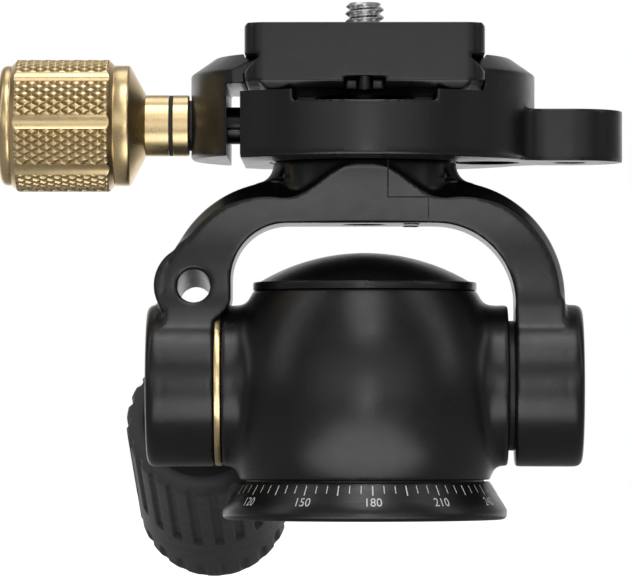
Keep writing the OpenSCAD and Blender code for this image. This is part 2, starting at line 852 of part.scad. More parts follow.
// The slot that the plate slides in, with its hook on the right
module plate_slot() {
    reach = 2 * clamp_r;
    wall = plate_x + face_gap;
    hook = waist_x + face_gap;
    front_extrude(4 * clamp_r) polygon([
        [-reach, seat_z], [wall, seat_z], [wall, plate_z + foot_h], [hook, plate_z + foot_h + dovetail],
        [hook, hook_z], [wall + face_gap, hook_z], [wall + face_gap, plate_top + reach],
        [-reach, plate_top + reach]
    ]);
}

module clamp_ear() {
    side_y = ear_r + ear_fillet;
    corner_x = sqrt(pow(clamp_r + ear_fillet, 2) - side_y * side_y);
    translate([0, 0, clamp_z]) linear_extrude(ear_h) {
        translate([ear_x, 0]) circle(ear_r);
        translate([clamp_flat_x, -ear_r]) square([ear_x - clamp_flat_x, 2 * ear_r]);
        for (side = [0, 1]) mirror([0, side]) difference() {
            polygon([[0, 0], [corner_x, 0], [corner_x, side_y]]);
            translate([corner_x, side_y]) circle(ear_fillet);
        }
    }
}

module clamp_base() {
    reach = 2 * clamp_r;
    dimple_x = 19.5;
    dimple_r = 5.5;
    dimple_h = 0.8;
    screw_depth = clamp_flat_x - clamp_bolt_r - 2;
    color(satin_black) difference() {
        union() {
            clamp_disc();
            clamp_ear();
            translate([0, 0, collar_top]) cylinder(h = rest_h + through, r = collar_r + 0.2);
        }
        plate_slot();
        translate([-reach - clamp_flat_x, -reach, 0]) cube([reach, 2 * reach, 2 * jaw_top]);
        translate([-relief_w, relief_y, relief_z]) cube([2 * relief_w, reach, reach]);
        translate([-relief_w, -reach - relief_in_y, relief_z]) cube([2 * relief_w, reach, reach]);
        translate([0, 0, relief_z]) cylinder(h = reach, r = pocket_r);
        translate([ear_x, 0, clamp_z - through]) cylinder(h = ear_h + 2 * through, r = ear_hole_r);
        translate([dimple_x, 0, clamp_z - through]) cylinder(h = dimple_h + through, r = dimple_r);
        clamp_bolt_set(fit);
        clamp_dowel_set(fit);
        translate([-clamp_flat_x - through, 0, screw_z]) along_x()
            cylinder(h = screw_depth + through, r = jaw_screw_r + run);
        for (side = [-1, 1]) translate([-clamp_flat_x - through, side * guide_y, screw_z]) along_x()
            cylinder(h = guide_end + clamp_flat_x + through + clear, r = guide_r + run);
    }
}

// The bolt from the bridge up into the clamp, grown by a gap to make its hole
module clamp_bolt_set(gap) {
    tip = relief_z - bolt_wall;
    translate([0, 0, clamp_head_z]) {
        cylinder(h = tip - clamp_head_z + gap, r = clamp_bolt_r + gap);
        translate([0, 0, -clamp_head_h]) cylinder(h = clamp_head_h + gap, r = clamp_head_r + gap);
        if (gap > 0) translate([0, 0, -clamp_head_h - bridge_t])
            cylinder(h = bridge_t + gap, r = clamp_head_r + gap);
    }
}

// Pins that keep the clamp from turning on the collar, grown by a gap to make their holes
module clamp_dowel_set(gap) {
    low = collar_top - dowel_len / 2;
    for (side = [-1, 1]) translate([side * dowel_x, 0, low - gap])
        cylinder(h = dowel_len + 2 * gap, r = dowel_r + gap);
}

module clamp_dowels() {
    color(steel) clamp_dowel_set(0);
}

module clamp_bolt() {
    socket_w = 3;
    color(steel) difference() {
        clamp_bolt_set(0);
        translate([0, 0, clamp_head_z - clamp_head_h - through])
            cylinder(h = 2 + through, r = socket_w / sqrt(3), $fn = 6);
    }
}

module clamp_jaw() {
    reach = 2 * clamp_r;
    half_len = sqrt(pow(clamp_r, 2) - pow(jaw_in_x - jaw_out, 2)) + 1;
    color(satin_black) difference() {
        intersection() {
            translate([-jaw_out, 0, 0]) clamp_disc();
            union() {
                translate([-reach - jaw_in_x, -half_len, 0]) cube([reach, 2 * half_len, 2 * jaw_top]);
                translate([-reach - waist_x - face_gap, -half_len, seat_z + face_gap])
                    cube([reach, 2 * half_len, reach]);
            }
        }
        mirror([1, 0, 0]) plate_slot();
        translate([-jaw_face_x, 0, screw_z]) rotate([0, -90, 0])
            cylinder(h = reach, r = knob_washer_r + clear);
        translate([-reach, 0, screw_z]) along_x() cylinder(h = reach, r = jaw_screw_r + run);
        for (side = [-1, 1]) translate([guide_in - jaw_face_x, side * guide_y, screw_z]) along_x()
            cylinder(h = reach, r = guide_r + fit);
    }
}

module guide_pins() {
    color(steel) for (side = [-1, 1])
        translate([fit + guide_in - jaw_face_x, side * guide_y, screw_z]) along_x()
            cylinder(h = guide_len, r = guide_r);
}

// Clamp knob, drawn outward from the jaw

module at_knob() {
    translate([0, 0, screw_z]) rotate([0, -90, 0]) children();
}

module clamp_knob() {
    nose = 0.25;
    socket = jaw_screw_r + fit;
    band_x = neck_x + band_start;
    color(gold) at_knob() difference() {
        rotate_extrude() {
            translate([0, neck_x]) square([neck_r, neck_len]);
            polygon([[0, cone_x], [neck_r + nose, cone_x], [ring_r, ring_x], [0, ring_x]]);
            translate([0, ring_x]) square([ring_r, knob_ring_t]);
            polygon([
                [0, grip_x], [ring_r, grip_x], [knob_r, grip_x + knob_bevel],
                [knob_r, end_x - knob_bevel], [ring_r, end_x], [0, end_x]
            ]);
            translate([0, end_x]) disc_outline(ring_r - nose / 2, knob_end_t, 0, 0.8);
        }
        translate([0, 0, grip_x]) ring_of(flute_count, flute_turn) translate([0, flute_ring, 0])
            cylinder(h = knob_grip_len, r = flute_cutter_r);
        translate([0, 0, band_x]) difference() {
            cylinder(h = band_w, r = knob_r);
            translate([0, 0, -through]) cylinder(h = band_w + 2 * through, r = neck_r - band_depth);
        }
        translate([0, 0, neck_x - through]) cylinder(h = grip_x - neck_x + through, r = socket);
    }
}

module knob_band() {
    band_x = neck_x + band_start;
    color(rubber_black) at_knob() translate([0, 0, band_x + fit]) difference() {
        cylinder(h = band_w - 2 * fit, r = neck_r - 0.05);
        translate([0, 0, -through]) cylinder(h = band_w + 2 * through, r = neck_r - band_depth + fit);
    }
}

module knob_washer() {
    color(rubber_black) at_knob() translate([0, 0, neck_x - knob_washer_t]) difference() {
        cylinder(h = knob_washer_t - fit, r = knob_washer_r);
        translate([0, 0, -through]) cylinder(h = knob_washer_t + 2 * through, r = jaw_screw_r + fit);
    }
}

module jaw_screw() {
    inner = clamp_bolt_r + 3;
    color(steel) at_knob() translate([0, 0, inner]) cylinder(h = grip_x - inner - fit, r = jaw_screw_r);
}

// Dovetail plate

module plate_front() {
    top = plate_z + plate_h;
    half = [
        [plate_x - 0.3, plate_z], [plate_x, plate_z + 0.3], [plate_x, plate_z + foot_h],
        [waist_x, plate_z + foot_h + dovetail], [waist_x, flange_z], [plate_x, flange_z],
        [plate_x, top - plate_bevel], [plate_x - plate_bevel, top]
    ];
    polygon(concat(half, [for (i = [len(half) - 1 : -1 : 0]) [-half[i][0], half[i][1]]]));
}

module qr_plate() {
    half = plate_len / 2;
    color(satin_black) difference() {
        intersection() {
            front_extrude(plate_len) plate_front();
            linear_extrude(2 * plate_top) {
                square([plate_w - 2 * plate_corner, plate_len], center = true);
                square([plate_w, plate_len - 2 * plate_corner], center = true);
                for (x = [-1, 1], y = [-1, 1])
                    translate([x * (plate_x - plate_corner), y * (half - plate_corner)]) circle(plate_corner);
            }
        }
        for (side = [0, 1]) mirror([0, side]) translate([-notch_w, stop_y - notch_w, plate_z - through])
            cube([2 * notch_w, half, notch_h + through]);
        stop_screw_set(fit);
        plate_pad_set(fit);
        translate([0, 0, plate_z - through]) cylinder(h = camera_seat + through, r = camera_head_r + clear);
        cylinder(h = plate_top + through, r = camera_hole_r);
    }
}

module plate_pad_set(gap) {
    for (side = [-1, 1]) translate([side * pad_x, 0, pad_z - gap])
        linear_extrude(pad_t + gap) {
            square([pad_w + 2 * gap, pad_len - pad_w], center = true);
            for (end = [-1, 1]) translate([0, end * (pad_len - pad_w) / 2]) circle(pad_w / 2 + gap);
        }
}

module plate_pads() {
    color(rubber_black) plate_pad_set(0);
}

// Screws under the plate that stop it from sliding out, grown by a gap to make their holes
module stop_screw_set(gap) {
    low = plate_z + notch_h - stop_drop;
    for (side = [-1, 1]) translate([0, side * stop_y, low])
        cylinder(h = stop_drop + plate_h - notch_h - 3 + gap, r = stop_r + gap);
}

module stop_screws() {
    socket_w = 1.3;
    low = plate_z + notch_h - stop_drop;
    color(steel) difference() {
        stop_screw_set(0);
        for (side = [-1, 1]) translate([0, side * stop_y, low - through])
            cylinder(h = 1 + through, r = socket_w / sqrt(3), $fn = 6);
    }
}

module camera_screw() {
    slot_width = 1.4;
    tip_bevel = 0.5;
    guide_h = 1.6;
    head_top = camera_head_z + camera_head_h;
    free_z = plate_top + face_gap;
    free_len = camera_len - face_gap;
    color(steel) difference() {
        union() {
            translate([0, 0, camera_head_z]) cylinder(h = camera_head_h, r = camera_head_r);
            translate([0, 0, head_top]) cylinder(h = guide_h, r = camera_r);
            translate([0, 0, head_top]) cylinder(h = free_z - head_top, r = camera_neck_r);
            translate([0, 0, free_z]) cylinder(h = free_len - tip_bevel, r = camera_r);
            translate([0, 0, free_z + free_len - tip_bevel])
                cylinder(h = tip_bevel, r1 = camera_r, r2 = camera_r - tip_bevel);
        }
        translate([-camera_head_r - through, -slot_width / 2, camera_head_z - through])
            cube([2 * camera_head_r + 2 * through, slot_width, through + 1.1]);
    }
}

// Handle

module brake_plunger() {
    color(bronze) along_handle() translate([0, 0, plunger_start]) cylinder(h = plunger_len, r = plunger_r);
}

module handle_stem() {
    low = plunger_end + fit;
    color(steel) along_handle() translate([0, 0, low]) cylinder(h = stem_end - low, r = tip_r);
}

module handle_collar() {
    long = grip_start - collar_start - fit;
    color(steel) along_handle() translate([0, 0, collar_start]) difference() {
        cylinder(h = long, r = stem_collar_r);
        translate([0, 0, -through]) cylinder(h = long + 2 * through, r = tip_r + fit);
    }
}

module handle_core() {
    color(steel) along_handle() translate([0, 0, grip_start]) difference() {
        cylinder(h = core_end - grip_start, r = core_r);
        translate([0, 0, -through]) cylinder(h = stem_end - grip_start + through + fit, r = tip_r + fit);
    }
}

// A slot with round ends, cut from the outside inward
module grip_slot(start, len, floor_r) {
    rise = 2 * grip_far_r;
    translate([0, floor_r, start]) rotate([-90, 0, 0]) linear_extrude(rise) {
        translate([-slot_w / 2, -len + slot_w / 2]) square([slot_w, len - slot_w]);
        translate([0, -slot_w / 2]) circle(slot_w / 2, $fn = 24);
        translate([0, slot_w / 2 - len]) circle(slot_w / 2, $fn = 24);
    }
}

// The grip's outline, taken in by a skin
module grip_outline(skin) {
    near_r = grip_near_r - skin;
    far_r = grip_far_r - skin;
    low = grip_start + skin;
    straight = low + grip_round;
    face_r = near_r - grip_round;
    translate([0, low]) square([face_r, grip_round]);
    intersection() {
        translate([face_r, straight]) circle(grip_round);
        translate([0, low]) square([near_r, grip_round]);
    }
    polygon([[0, straight], [near_r, straight], [far_r, grip_end], [0, grip_end]]);
    intersection() {
        translate([0, grip_end]) circle(far_r);
        translate([0, grip_end]) square([far_r, far_r]);
    }
}

module handle_grip() {
    floor_r = grip_near_r - slot_depth;
    color(rubber_black) along_handle() difference() {
        rotate_extrude() grip_outline(0);
        translate([0, 0, grip_start - through])
            cylinder(h = core_end - grip_start + through + fit, r = core_r + fit);
        ring_of(slot_count) grip_slot(near_slot, near_slot_len, floor_r);
        ring_of(slot_count) grip_slot(far_slot, far_slot_len, grip_far_r - slot_depth);
        translate([0, 0, grip_start - through]) cylinder(h = cup_h + through, r = cup_r);
    }
}

base_plate();
tripod_bush();
pan_spindle();
spindle_screws();
pan_nut();
body_housing();
pan_bush();
thrust_washer();
disc_spring();
dome_cap();
tilt_axle();
axle_pin();
axle_nuts();
drag_ring();
friction_washer();
yoke_main();
yoke_right_arm();
lap_screws();
left_bush();
right_bush();
left_cover();
right_cover();
clamp_base();
clamp_bolt();
clamp_dowels();
clamp_jaw();
guide_pins();
clamp_knob();
jaw_screw();
knob_band();
knob_washer();
qr_plate();
plate_pads();
stop_screws();
camera_screw();
brake_plunger();
handle_stem();
handle_collar();
handle_core();
handle_grip();
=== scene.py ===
# Two-way pan head on a white sweep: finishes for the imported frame, detailed pieces, light and camera.
import bpy
import bmesh
import math
import numpy as np
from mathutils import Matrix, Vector


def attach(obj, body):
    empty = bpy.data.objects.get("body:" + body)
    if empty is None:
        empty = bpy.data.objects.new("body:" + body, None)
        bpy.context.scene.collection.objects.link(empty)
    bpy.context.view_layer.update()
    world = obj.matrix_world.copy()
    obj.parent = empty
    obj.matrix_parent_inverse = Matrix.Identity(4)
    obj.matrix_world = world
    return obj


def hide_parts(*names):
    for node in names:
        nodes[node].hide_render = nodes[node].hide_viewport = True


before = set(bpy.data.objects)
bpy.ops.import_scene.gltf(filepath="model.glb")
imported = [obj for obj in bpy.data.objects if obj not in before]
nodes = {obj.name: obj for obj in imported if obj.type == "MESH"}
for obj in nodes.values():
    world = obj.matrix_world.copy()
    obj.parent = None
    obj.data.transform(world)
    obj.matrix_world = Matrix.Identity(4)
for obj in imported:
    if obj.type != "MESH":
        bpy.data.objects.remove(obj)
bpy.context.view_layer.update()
scene = bpy.context.scene
scene.view_settings.view_transform = "Standard"
print("frame loaded with", len(nodes), "nodes")

mm = 0.001
weldGap = 0.002 * mm
tiltZ = 21.6 * mm
screwZ = 63.7313 * mm


# finishes

def newFinish(name):
    finish = bpy.data.materials.new(name)
    finish.use_nodes = True
    tree = finish.node_tree
    return finish, tree, tree.nodes["Principled BSDF"]


def addNode(tree, kind, **settings):
    node = tree.nodes.new(kind)
    for key, value in settings.items():
        if key in node.inputs:
            node.inputs[key].default_value = value
        else:
            setattr(node, key, value)
    return node


def grainOn(tree, shader, scale, strength, distance, detail=3.0):
    # fine surface grain as bump, in metres of the object's own space
    coords = addNode(tree, "ShaderNodeTexCoord")
    noise = addNode(tree, "ShaderNodeTexNoise", Scale=scale, Detail=detail, Roughness=0.6)
    bump = addNode(tree, "ShaderNodeBump", Strength=strength, Distance=distance)
    tree.links.new(coords.outputs["Object"], noise.inputs["Vector"])
    tree.links.new(noise.outputs["Fac"], bump.inputs["Height"])
    tree.links.new(bump.outputs["Normal"], shader.inputs["Normal"])
    return coords


def varied(tree, coords, socket, scale, low, high):
    # slow change between two values or two colours
    noise = addNode(tree, "ShaderNodeTexNoise", Scale=scale, Detail=4.0, Roughness=0.55)
    ramp = addNode(tree, "ShaderNodeValToRGB")
    ramp.color_ramp.elements[0].position = 0.32
    ramp.color_ramp.elements[1].position = 0.68
    pale = lambda v: (v, v, v, 1) if not isinstance(v, tuple) else (*v, 1)
    ramp.color_ramp.elements[0].color = pale(low)
    ramp.color_ramp.elements[1].color = pale(high)
    tree.links.new(coords.outputs["Object"], noise.inputs["Vector"])
    tree.links.new(noise.outputs["Fac"], ramp.inputs["Fac"])
    tree.links.new(ramp.outputs["Color"], socket)


blackLook = {
    "dark": (0.0034, 0.0033, 0.0034), "light": (0.0044, 0.0043, 0.0044), "rough": (0.27, 0.33), "specular": 0.44,
    "grain": 5200, "grainStrength": 0.5,
}


def satinBlack(name, look):
    finish, tree, shader = newFinish(name)
    shader.inputs["Specular IOR Level"].default_value = look["specular"]
    coords = grainOn(tree, shader, look["grain"], look["grainStrength"], 0.02 * mm)
    varied(tree, coords, shader.inputs["Base Color"], 130, look["dark"], look["light"])
    varied(tree, coords, shader.inputs["Roughness"], 420, look["rough"][0], look["rough"][1])
    return finish


goldLook = {"dark": (0.70, 0.535, 0.29), "light": (0.75, 0.57, 0.31), "rough": (0.26, 0.33), "grain": 4200}


def satinGold(name, look):
    finish, tree, shader = newFinish(name)
    shader.inputs["Metallic"].default_value = 1.0
    coords = grainOn(tree, shader, look["grain"], 0.10, 0.02 * mm)
    varied(tree, coords, shader.inputs["Base Color"], 160, look["dark"], look["light"])
    varied(tree, coords, shader.inputs["Roughness"], 500, look["rough"][0], look["rough"][1])
    return finish


def grooved(finish, name, shadeStrength):
    # the same finish with painted shade down in the knurl's grooves: the base colour is darkened there to stand in for
    # the shade the grooves get
    finish = finish.copy()
    finish.name = name
    tree = finish.node_tree
    shader = tree.nodes["Principled BSDF"]
    paint = shader.inputs["Base Color"].links[0].from_socket
    mask = addNode(tree, "ShaderNodeAttribute", attribute_name="paintedGrooveShade")
    shadeFactor = addNode(tree, "ShaderNodeMath", operation="MULTIPLY")
    shadeFactor.inputs[1].default_value = shadeStrength
    mix = addNode(tree, "ShaderNodeMix", data_type="RGBA")
    # painted groove shade: the dark brown colour mixed into the base colour in the grooves
    mix.inputs["B"].default_value = (0.07, 0.045, 0.018, 1)
    tree.links.new(mask.outputs["Fac"], shadeFactor.inputs[0])
    tree.links.new(shadeFactor.outputs[0], mix.inputs["Factor"])
    tree.links.new(paint, mix.inputs["A"])
    tree.links.new(mix.outputs["Result"], shader.inputs["Base Color"])
    return finish


def turnedMetal(name, dark, light, rough):
    finish, tree, shader = newFinish(name)
    shader.inputs["Metallic"].default_value = 1.0
    coords = grainOn(tree, shader, 2600, 0.10, 0.02 * mm)
    varied(tree, coords, shader.inputs["Base Color"], 240, dark, light)
    varied(tree, coords, shader.inputs["Roughness"], 600, rough[0], rough[1])
    return finish


def matteSkin(name, dark, light, rough, grain, strength):
    finish, tree, shader = newFinish(name)
    shader.inputs["Specular IOR Level"].default_value = 0.4
    coords = grainOn(tree, shader, grain, strength, 0.03 * mm, detail=5)
    varied(tree, coords, shader.inputs["Base Color"], 180, dark, light)
    varied(tree, coords, shader.inputs["Roughness"], 500, rough[0], rough[1])
    return finish


blackMetal = satinBlack("satinBlackMetal", blackLook)
goldMetal = satinGold("satinGoldMetal", goldLook)
# knurled gold with painted shade darkening its knurl grooves
knurledGold = grooved(goldMetal, "knurledGoldPaintedGrooveShade", 0.72)
stainless = turnedMetal("turnedStainless", (0.56, 0.56, 0.57), (0.66, 0.66, 0.67), (0.2, 0.3))
darkSteel = turnedMetal("blackenedSteel", (0.035, 0.035, 0.038), (0.05, 0.05, 0.054), (0.3, 0.42))
bronze = turnedMetal("turnedBronze", (0.42, 0.28, 0.14), (0.5, 0.34, 0.17), (0.3, 0.4))
gripRubber = matteSkin("charcoalGripRubber", (0.062, 0.062, 0.063), (0.073, 0.073, 0.074), (0.5, 0.6), 3800, 0.3)
padRubber = matteSkin("padRubber", (0.014, 0.014, 0.015), (0.02, 0.02, 0.021), (0.6, 0.75), 3000, 0.35)
washerPlastic = matteSkin("washerPlastic", (0.012, 0.012, 0.013), (0.016, 0.016, 0.017), (0.4, 0.5), 3500, 0.12)
dialPaint = matteSkin("dialPaint", (0.50, 0.50, 0.50), (0.58, 0.58, 0.58), (0.45, 0.55), 4000, 0.05)

finishOf = {
    "base_plate": blackMetal, "body_housing": blackMetal, "dome_cap": blackMetal,
    "yoke_main": blackMetal, "yoke_right_arm": blackMetal, "left_cover": blackMetal, "right_cover": blackMetal,
    "clamp_base": blackMetal, "clamp_jaw": blackMetal, "qr_plate": blackMetal,
    "clamp_knob": goldMetal, "drag_ring": goldMetal,
    "tripod_bush": stainless, "pan_spindle": stainless, "pan_nut": stainless, "spindle_screws": stainless,
    "disc_spring": stainless, "tilt_axle": stainless, "axle_pin": stainless, "axle_nuts": stainless,
    "camera_screw": stainless, "clamp_dowels": stainless,
    "lap_screws": darkSteel, "clamp_bolt": darkSteel, "jaw_screw": darkSteel, "guide_pins": darkSteel,
    "stop_screws": darkSteel, "handle_stem": darkSteel, "handle_collar": darkSteel,
    "pan_bush": bronze, "left_bush": bronze, "right_bush": bronze, "brake_plunger": bronze,
    "thrust_washer": washerPlastic, "friction_washer": washerPlastic, "knob_washer": washerPlastic,
    "handle_core": washerPlastic,
    "knob_band": padRubber, "plate_pads": padRubber, "handle_grip": gripRubber,
}
for nodeName, nodeObject in nodes.items():
    nodeObject.data.materials.clear()
    nodeObject.data.materials.append(finishOf[nodeName])
print("finishes set on the frame")


# softened edges on the frame's own machined pieces

edgeWidth = {
    "base_plate": 0.3, "dome_cap": 0.15, "left_cover": 0.2, "right_cover": 0.2, "drag_ring": 0.12,
    "friction_washer": 0.1, "lap_screws": 0.12, "clamp_bolt": 0.15, "knob_washer": 0.1, "guide_pins": 0.1,
    "plate_pads": 0.25, "stop_screws": 0.12, "tripod_bush": 0.15, "handle_collar": 0.25, "spindle_screws": 0.1,
}


def softenEdges(nodeName, width):
    node = nodes[nodeName]
    weld = node.modifiers.new("joinCorners", "WELD")
    weld.merge_threshold = weldGap
    bevel = node.modifiers.new("softEdges", "BEVEL")
    bevel.width = width * mm
    bevel.segments = 3
    bevel.limit_method = "ANGLE"
    bevel.angle_limit = math.radians(34)
    bevel.harden_normals = True
    bevel.use_clamp_overlap = True


for nodeName, width in edgeWidth.items():
    softenEdges(nodeName, width)
print("edges softened")


# shared mesh makers

def addPiece(name, mesh, body, finish, replaced):
    piece = bpy.data.objects.new(name, mesh)
    scene.collection.objects.link(piece)
    mesh.materials.clear()
    mesh.materials.append(finish)
    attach(piece, body)
    if replaced:
        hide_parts(*replaced)
    return piece


def shadeSmooth(mesh, sharpAngle=None):
    for polygon in mesh.polygons:
        polygon.use_smooth = True
    if sharpAngle is not None:
        mesh.set_sharp_from_angle(angle=math.radians(sharpAngle))


def meshFrom(name, points, faces, sharpAngle=None):
    mesh = bpy.data.meshes.new(name)
    mesh.from_pydata([tuple(p) for p in points], [], faces)
    work = bmesh.new()
    work.from_mesh(mesh)
    bmesh.ops.recalc_face_normals(work, faces=work.faces)
    work.to_mesh(mesh)
    work.free()
    shadeSmooth(mesh, sharpAngle)
    mesh.update()
    return mesh


def tubeFaces(rows, columns):
    faces = []
    for i in range(rows - 1):
        for j in range(columns):
            k = (j + 1) % columns
            faces.append((i * columns + j, i * columns + k, (i + 1) * columns + k, (i + 1) * columns + j))
    return faces


def closedTube(points):
    # points: rows x columns x 3; closes both ends with a fan
    rows, columns, _ = points.shape
    flat = points.reshape(-1, 3)
    faces = tubeFaces(rows, columns)
    low = len(flat)
    flat = np.vstack([flat, points[0].mean(axis=0), points[-1].mean(axis=0)])
    for j in range(columns):
        k = (j + 1) % columns
        faces.append((low, k, j))
        faces.append((low + 1, (rows - 1) * columns + j, (rows - 1) * columns + k))
    return flat, faces


def smoothStep(low, high, value):
    t = np.clip((value - low) / (high - low), 0, 1)
    return t * t * (3 - 2 * t)


def bakedMesh(piece):
    graph = bpy.context.evaluated_depsgraph_get()
    return bpy.data.meshes.new_from_object(piece.evaluated_get(graph))


# camera screw: rolled 1/4 inch thread over a captive head

cameraScrew = {
    "low": 78.83, "high": 83.63, "major": 3.175, "minor": 2.52, "pitch": 1.27, "tipInset": 0.03,
    "head": [
        (6.8, 71.13), (7.0, 71.28), (7.0, 73.29), (6.85, 73.44),
        (3.175, 73.44), (3.175, 75.13), (2.675, 75.13), (2.675, 78.73),
    ],
}


def threadRadius(along, turn, pitch, major, minor):
    # 60 degree thread with narrow flats at crest and root
    phase = np.mod(along / pitch - turn, 1.0)
    ridge = np.abs(phase - 0.5) * 2
    return minor + (major - minor) * np.clip(ridge * 1.36 - 0.18, 0, 1)


def makeCameraScrew(spec):
    columns, rows = 112, 104
    z = np.linspace(spec["low"], spec["high"], rows)
    turn = np.arange(columns) / columns
    zz, tt = np.meshgrid(z, turn, indexing="ij")
    radius = threadRadius(zz, tt, spec["pitch"], spec["major"], spec["minor"])
    # the tip is bevelled down to the root
    radius = np.minimum(radius, spec["minor"] - spec["tipInset"] + np.maximum(spec["high"] - zz, 0))
    points = np.stack([radius * np.cos(tt * 2 * np.pi), radius * np.sin(tt * 2 * np.pi), zz], axis=-1)
    # the head, the guide and the neck below the plate's top
    angle = turn * 2 * math.pi
    lower = np.array([
        np.stack([r * np.cos(angle), r * np.sin(angle), np.full(columns, h)], axis=-1) for r, h in spec["head"]
    ])
    flat, faces = closedTube(np.vstack([lower, points]) * mm)
    mesh = meshFrom("cameraScrew", flat, faces, 38)
    return addPiece("cameraScrew", mesh, "camera_screw", stainless, ["camera_screw"])


makeCameraScrew(cameraScrew)
print("camera screw threaded")


# clamp knob: diamond knurl between eight flutes, turned ring, cone and neck

clampKnob = {
    "radius": 10.7, "ring": 9.75, "neck": 4.95, "neckStart": 28.4, "coneStart": 35.5, "ringStart": 38.1,
    "gripStart": 40.5, "gripEnd": 57.1, "end": 59.0,
    "flutes": 8, "fluteFirst": 0.4, "fluteCutter": 2.2, "fluteDepth": 0.4,
    "diamonds": 48, "rowPitch": 2.36, "knurlDepth": 0.32, "plateau": 0.56,
    "bandLow": 31.0, "bandHigh": 31.65, "bandFloor": 4.45,
}


def knobPoint(along, radius, angle):
    # angle 0 faces the front and grows upward
    return np.stack([-along, -radius * np.cos(angle), screwZ / mm + radius * np.sin(angle)], axis=-1)


def makeClampKnob(spec):
    columns = spec["diamonds"] * 16
    angle = np.arange(columns) / columns * 2 * np.pi
    ring, grip, neck, end = spec["ring"], spec["radius"], spec["neck"], spec["end"]
    neckStart, coneStart, ringStart = spec["neckStart"], spec["coneStart"], spec["ringStart"]
    gripStart, gripEnd = spec["gripStart"], spec["gripEnd"]
    bandLow, bandHigh, bandFloor = spec["bandLow"], spec["bandHigh"], spec["bandFloor"]
    # axial stations: neck, cone, ring, grip with its knurl, end ring
    before = [
        (neckStart, 3.1), (neckStart, 4.75), (neckStart + 0.2, neck),
        (bandLow - 0.06, neck), (bandLow, neck - 0.06), (bandLow, bandFloor),
        (bandHigh, bandFloor), (bandHigh, neck - 0.06), (bandHigh + 0.06, neck),
        (coneStart - 0.06, neck), (coneStart, neck + 0.08), (coneStart, 5.2), (coneStart + 0.1, 5.32),
        (ringStart - 0.25, ring - 0.3), (ringStart - 0.1, ring - 0.13), (ringStart + 0.06, ring - 0.03),
        (ringStart + 0.25, ring), (gripStart - 0.22, ring), (gripStart - 0.15, ring - 0.04),
        (gripStart - 0.12, ring - 0.16), (gripStart - 0.04, ring - 0.16), (gripStart, ring - 0.04),
    ]
    after = [
        (gripEnd, ring - 0.04), (gripEnd + 0.04, ring - 0.2), (gripEnd + 0.12, ring - 0.2),
        (gripEnd + 0.16, ring - 0.1), (gripEnd + 0.26, ring - 0.06), (end - 1.15, ring - 0.06),
        (end - 0.8, ring - 0.13), (end - 0.45, ring - 0.33), (end - 0.18, ring - 0.7),
        (end - 0.04, ring - 1.15), (end, ring - 1.7), (end, ring - 2.2), (end - 0.12, ring - 2.4), (end - 0.12, 2.0),
    ]
    stations = np.linspace(gripStart + 0.02, gripEnd - 0.02, 150)
    aa, tt = np.meshgrid(stations, angle, indexing="ij")
    bevelTop = grip - 0.95 + np.minimum(aa - gripStart, gripEnd - aa)
    land = np.minimum(grip, bevelTop)
    # two crossing families of grooves leave flat-topped diamonds
    u = tt / (2 * np.pi) * spec["diamonds"]
    v = (aa - gripStart) / spec["rowPitch"]
    ridge = lambda w: np.abs(np.mod(w, 1.0) - 0.5) * 2
    first, second = ridge(u + v), ridge(u - v)
    tall = np.clip(np.minimum(1 - first, 1 - second) / spec["plateau"], 0, 1)
    # the bevels at both ends stay plain
    tall = np.maximum(tall, smoothStep(0.0, 0.12, grip - bevelTop))
    knurled = land - spec["knurlDepth"] * (1 - tall)
    # flutes: a round cutter beside the grip
    turn = np.mod(tt - math.radians(spec["fluteFirst"]), 2 * np.pi / spec["flutes"])
    turn = np.minimum(turn, 2 * np.pi / spec["flutes"] - turn)
    centre = grip + spec["fluteCutter"] - spec["fluteDepth"]
    inside = np.maximum(spec["fluteCutter"] ** 2 - (centre * np.sin(turn)) ** 2, 0)
    flute = np.where(inside > 0, centre * np.cos(turn) - np.sqrt(inside), grip + 1)
    radius = np.where(flute < land, flute, np.minimum(knurled, land))
    lower = np.array([knobPoint(np.full(columns, a), np.full(columns, r), angle) for a, r in before])
    upper = np.array([knobPoint(np.full(columns, a), np.full(columns, r), angle) for a, r in after])
    flat, faces = closedTube(np.vstack([lower, knobPoint(aa, radius, tt), upper]) * mm)
    mesh = meshFrom("knurledKnob", flat, faces, 42)
    # how deep each point lies in the knurl, used as the mask for the painted groove shade in the finish
    paintedGrooveShade = np.where(flute < land, 0, 1 - tall).ravel()
    shade = np.concatenate([np.zeros(lower.size // 3), paintedGrooveShade, np.zeros(upper.size // 3 + 2)])
    # the mask is stored on the mesh, where the finish reads it to paint shade into the grooves
    mesh.attributes.new("paintedGrooveShade", "FLOAT", "POINT").data.foreach_set("value", shade)
    return addPiece("knurledKnob", mesh, "knob", knurledGold, ["clamp_knob"])


makeClampKnob(clampKnob)
print("knob knurled")


# handle grip: moulded rubber sleeve with two bands of round-ended slots

handleGrip = {
    "x": -27.1, "slope": 16.2, "yaw": 0.7, "start": 19.6, "end": 70.8, "nearR": 12.7, "farR": 13.1, "round": 2.5,
    "bore": 7.02, "cupR": 9.7, "cupH": 1.0, "slots": 22, "slotW": 1.6, "slotDepth": 0.75,
    "bands": [(18.0, 52.4), (65.5, 80.0)],
}


def handlePoint(spec, along, radius, angle):
    slope, yaw = math.radians(spec["slope"]), math.radians(spec["yaw"])
    side, rise = radius * np.cos(angle), radius * np.sin(angle)
    back = along * math.cos(slope) + rise * math.sin(slope)
    return np.stack([
        spec["x"] + side * math.cos(yaw) + back * math.sin(yaw),
        back * math.cos(yaw) - side * math.sin(yaw),
        tiltZ / mm - along * math.sin(slope) + rise * math.cos(slope),
    ], axis=-1)


